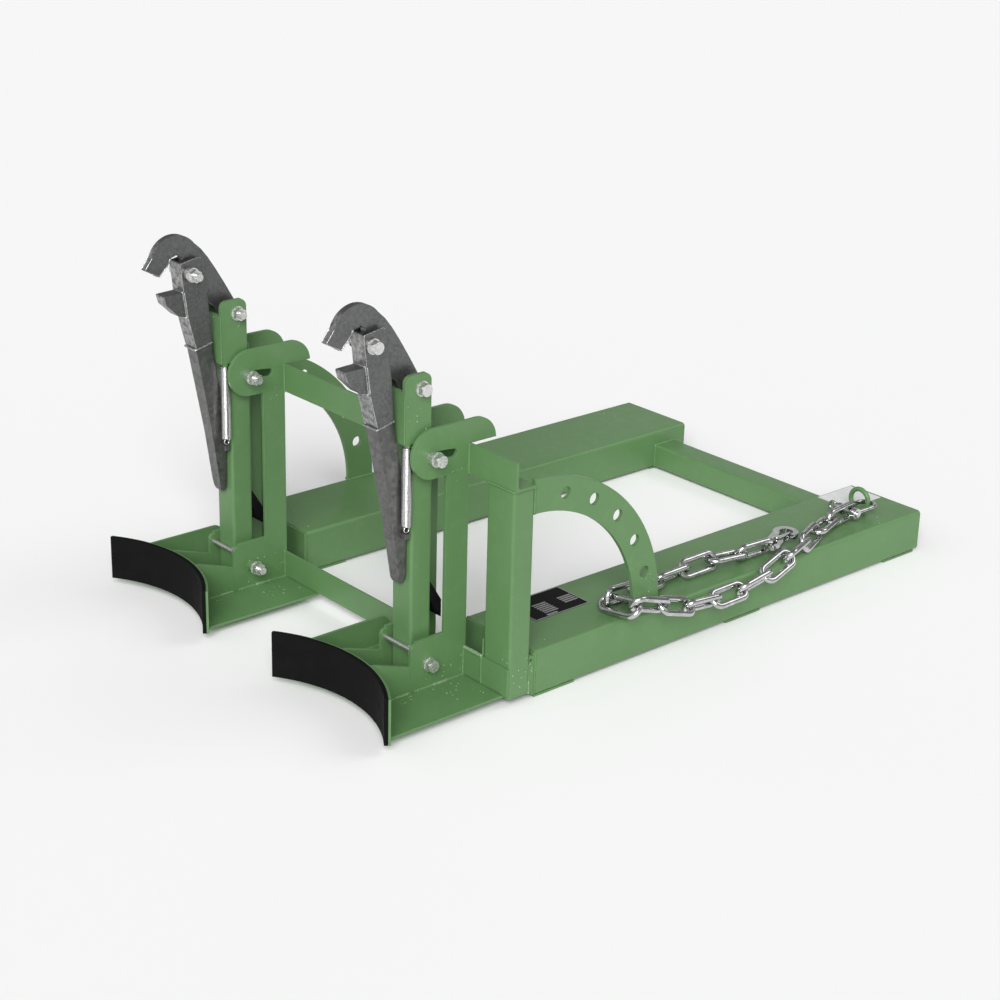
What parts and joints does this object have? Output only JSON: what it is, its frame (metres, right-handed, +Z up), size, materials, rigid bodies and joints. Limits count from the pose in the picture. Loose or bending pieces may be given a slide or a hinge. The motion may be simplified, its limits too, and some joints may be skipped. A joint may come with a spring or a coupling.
{
  "type": "forklift drum lifter",
  "caption": "Fork-mounted drum lifter with fork pockets, rubber-padded drum cradles, leaning masts with sprung rim clamps, curved side plates and a safety chain with snap hook.",
  "frame": {"origin": "midway between the mouths of the fork pockets, in the plane of the mouths, at floor level", "axes": "+Y out of the pocket mouths towards the forklift, +Z up, +X towards the pocket that carries the chain; drums stand at -Y"},
  "size_m": [1.0133, 1.5552, 0.806],
  "materials": {
    "reseda_paint": "satin",
    "galvanised_steel": "satin, hot-dip galvanised",
    "zinc_fasteners": "satin, zinc plated",
    "chain_zinc": "bright zinc plated",
    "spring_steel": "satin",
    "rubber": "matt",
    "plate_black": "satin",
    "label_grey": "matt"
  },
  "bodies": {
    "frame": {"fork_pocket_right": "reseda_paint", "fork_pocket_left": "reseda_paint", "pocket_straps": "reseda_paint", "pocket_front_plates": "reseda_paint", "base_plate_right": "reseda_paint", "base_plate_left": "reseda_paint", "gussets": "reseda_paint", "cradle_plate_right": "reseda_paint", "cradle_plate_left": "reseda_paint", "rubber_pad_right": "rubber", "rubber_pad_left": "rubber", "posts": "reseda_paint", "quadrant_right": "reseda_paint", "quadrant_left": "reseda_paint", "top_cross_angle": "reseda_paint", "front_cross_bars": "reseda_paint", "rear_cross_beam": "reseda_paint", "side_plates_right": "reseda_paint", "side_plates_left": "reseda_paint", "stop_pins": "zinc_fasteners", "pivot_bolts": "zinc_fasteners", "pivot_nuts": "zinc_fasteners", "pivot_washers": "zinc_fasteners", "pivot_spacers": "reseda_paint", "chain_eye": "reseda_paint", "shackle": "chain_zinc", "shackle_pin": "chain_zinc", "chain_links": "chain_zinc", "snap_hook": "chain_zinc", "rating_plate": "plate_black", "blank_label": "label_grey"},
    "hook_gate": {"hook_gate": "chain_zinc"},
    "mast_right": {"mast_bar_right": "reseda_paint", "mast_head_right": "reseda_paint", "mast_bolts_right": "zinc_fasteners", "mast_nuts_right": "zinc_fasteners", "mast_washers_right": "zinc_fasteners", "head_spacers_right": "galvanised_steel", "buffer_right": "rubber", "spring_right": "spring_steel"},
    "beak_right": {"beak_plate_right": "galvanised_steel", "lever_bolt_right": "zinc_fasteners", "lever_fixings_right": "zinc_fasteners"},
    "lever_right": {"lever_channel_right": "galvanised_steel", "lever_tail_right": "galvanised_steel", "lever_tooth_right": "galvanised_steel"},
    "mast_left": {"mast_bar_left": "reseda_paint", "mast_head_left": "reseda_paint", "mast_bolts_left": "zinc_fasteners", "mast_nuts_left": "zinc_fasteners", "mast_washers_left": "zinc_fasteners", "head_spacers_left": "galvanised_steel", "buffer_left": "rubber", "spring_left": "spring_steel"},
    "beak_left": {"beak_plate_left": "galvanised_steel", "lever_bolt_left": "zinc_fasteners", "lever_fixings_left": "zinc_fasteners"},
    "lever_left": {"lever_channel_left": "galvanised_steel", "lever_tail_left": "galvanised_steel", "lever_tooth_left": "galvanised_steel"}
  },
  "joints": [
    {"name": "mast_lean_right", "type": "hinge", "parent": "frame", "child": "mast_right", "pos_m": [0.3, -1.346, 0.072], "axis": [-1, 0, 0], "range_deg": [0, 7]},
    {"name": "beak_close_right", "type": "hinge", "parent": "mast_right", "child": "beak_right", "pos_m": [0.3, -1.361, 0.632], "axis": [1, 0, 0], "range_deg": [0, 12], "stiffness_Nm_per_rad": 16, "springref_deg": -22.92, "deforming": ["spring_right"]},
    {"name": "lever_swing_right", "type": "hinge", "parent": "beak_right", "child": "lever_right", "pos_m": [0.3, -1.461, 0.727], "axis": [1, 0, 0], "range_deg": [-10, 0]},
    {"name": "mast_lean_left", "type": "hinge", "parent": "frame", "child": "mast_left", "pos_m": [-0.3, -1.346, 0.072], "axis": [-1, 0, 0], "range_deg": [0, 7]},
    {"name": "beak_close_left", "type": "hinge", "parent": "mast_left", "child": "beak_left", "pos_m": [-0.3, -1.361, 0.632], "axis": [1, 0, 0], "range_deg": [0, 12], "stiffness_Nm_per_rad": 16, "springref_deg": -22.92, "deforming": ["spring_left"]},
    {"name": "lever_swing_left", "type": "hinge", "parent": "beak_left", "child": "lever_left", "pos_m": [-0.3, -1.461, 0.727], "axis": [1, 0, 0], "range_deg": [-10, 0]},
    {"name": "hook_gate_swing", "type": "hinge", "parent": "frame", "child": "hook_gate", "pos_m": [0.43084, -0.44139, 0.12432], "axis": [0, 0, 1], "range_deg": [0, 22], "stiffness_Nm_per_rad": 0.02, "springref_deg": -28.65}
  ],
  "couplings": [
    {"joint": "lever_swing_right", "follows": "beak_close_right", "ratio": -0.82},
    {"joint": "lever_swing_left", "follows": "beak_close_left", "ratio": -0.82}
  ]
}
